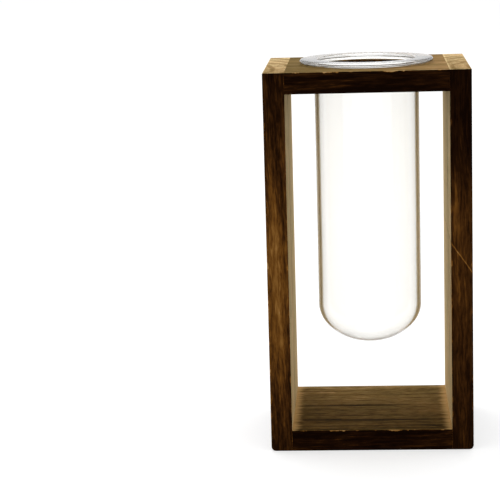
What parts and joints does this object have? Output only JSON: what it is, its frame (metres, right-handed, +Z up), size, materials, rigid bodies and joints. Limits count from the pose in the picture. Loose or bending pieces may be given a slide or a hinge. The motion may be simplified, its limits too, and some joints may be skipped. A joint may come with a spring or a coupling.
{
  "type": "hydroponic vase",
  "caption": "Round-bottomed glass tube with a flared lip, hung in an open wooden box frame to hold water and a cutting; the tube lifts out of the frame's top rail.",
  "frame": {"origin": "centre of the frame's underside, on the surface that it stands on", "axes": "+Z up along the tube's axis, +X from the left post to the right post, -Y towards the front"},
  "size_m": [0.1, 0.084, 0.1908],
  "materials": {
    "dark_wood": "dark walnut-brown stain, satin, with visible grain and paler end grain on the posts",
    "dowel_wood": "bare pale hardwood, hidden in the joints",
    "clear_glass": "clear polished glass with a faint green edge"
  },
  "bodies": {
    "frame": {"left_post": "dark_wood", "right_post": "dark_wood", "top_rail": "dark_wood", "bottom_rail": "dark_wood", "dowel_top_left_front": "dowel_wood", "dowel_top_left_back": "dowel_wood", "dowel_top_right_front": "dowel_wood", "dowel_top_right_back": "dowel_wood", "dowel_bottom_left_front": "dowel_wood", "dowel_bottom_left_back": "dowel_wood", "dowel_bottom_right_front": "dowel_wood", "dowel_bottom_right_back": "dowel_wood"},
    "tube": {"glass_tube": "clear_glass"}
  },
  "joints": [
    {"name": "tube_lift", "type": "slide", "parent": "frame", "child": "tube", "axis": [0, 0, 1], "range_m": [0, 0.15]}
  ]
}
